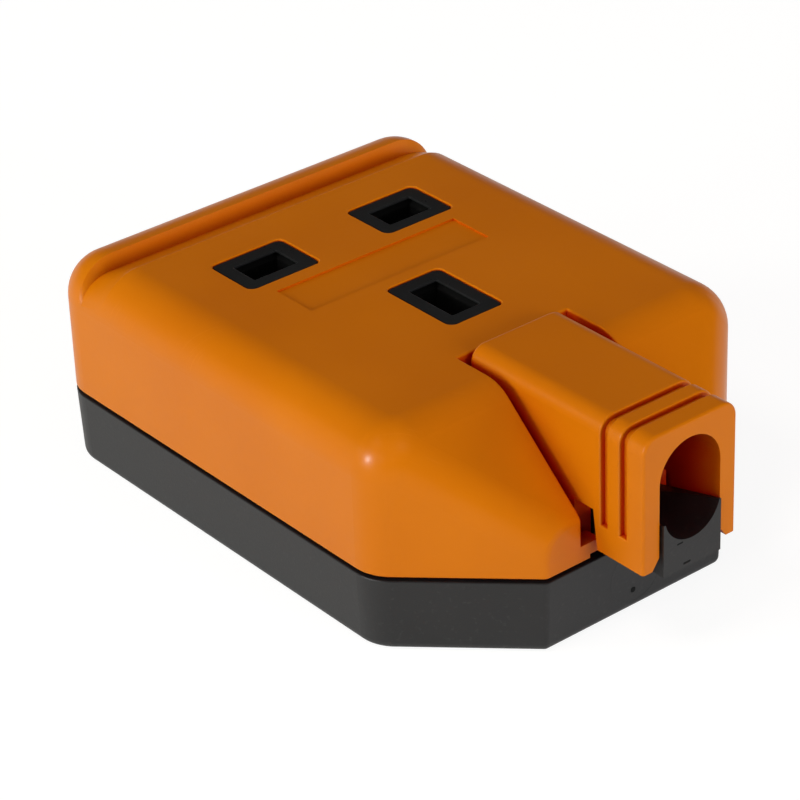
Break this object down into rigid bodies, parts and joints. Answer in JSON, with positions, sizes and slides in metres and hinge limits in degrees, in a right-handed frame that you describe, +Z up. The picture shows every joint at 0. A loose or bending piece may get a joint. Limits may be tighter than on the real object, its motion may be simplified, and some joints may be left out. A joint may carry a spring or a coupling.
{
  "type": "trailing socket",
  "caption": "Rewirable three-pin trailing socket with rounded cover, black base, shuttered pin holes and a press-down cord grip at its sloped nose.",
  "frame": {"origin": "on the bench straight below the earth pin hole, which is the middle of the footprint with the cord grip", "axes": "+X across the socket, -Y towards the cord end, +Z up out of the face with the pin holes"},
  "size_m": [0.0592, 0.0894, 0.0308],
  "materials": {
    "orange_plastic": "satin moulded, tough orange",
    "black_plastic": "fine moulded texture",
    "shutter_plastic": "smooth moulded",
    "brass": "pressed strip and turned bar",
    "clip_steel": "pressed spring steel",
    "screw_steel": "zinc plated",
    "spring_steel": "drawn wire"
  },
  "bodies": {
    "socket_body": {"aperture_plate": "black_plastic", "base": "black_plastic", "body_screws": "screw_steel", "earth_contact": "brass", "earth_contact_clip": "clip_steel", "earth_terminal": "brass", "housing_screws": "screw_steel", "line_contact": "brass", "line_contact_clip": "clip_steel", "line_terminal": "brass", "neutral_contact": "brass", "neutral_contact_clip": "clip_steel", "neutral_terminal": "brass", "shutter_keeper": "black_plastic", "shutter_spring": "spring_steel", "threaded_inserts": "brass", "top_cover": "orange_plastic"},
    "shutter": {"shutter": "shutter_plastic"},
    "cord_grip": {"cord_grip": "orange_plastic"},
    "line_terminal_screw": {"line_terminal_screw": "screw_steel"},
    "neutral_terminal_screw": {"neutral_terminal_screw": "screw_steel"},
    "earth_terminal_screw": {"earth_terminal_screw": "screw_steel"}
  },
  "joints": [
    {"name": "shutter_slide", "type": "slide", "parent": "socket_body", "child": "shutter", "axis": [0, 1, 0], "range_m": [0, 0.0065], "stiffness_N_per_m": 60, "springref_m": -0.002, "deforming": ["shutter_spring"]},
    {"name": "cord_grip_press", "type": "slide", "parent": "socket_body", "child": "cord_grip", "axis": [0, 0, 1], "range_m": [-0.0046, 0]},
    {"name": "line_screw_turn", "type": "hinge", "parent": "socket_body", "child": "line_terminal_screw", "pos_m": [-0.0125, 0.009, 0], "axis": [0, 0, 1], "continuous": true},
    {"name": "neutral_screw_turn", "type": "hinge", "parent": "socket_body", "child": "neutral_terminal_screw", "pos_m": [0.0125, 0.009, 0], "axis": [0, 0, 1], "continuous": true},
    {"name": "earth_screw_turn", "type": "hinge", "parent": "socket_body", "child": "earth_terminal_screw", "pos_m": [0, -0.0094, 0], "axis": [0, 0, 1], "continuous": true}
  ]
}
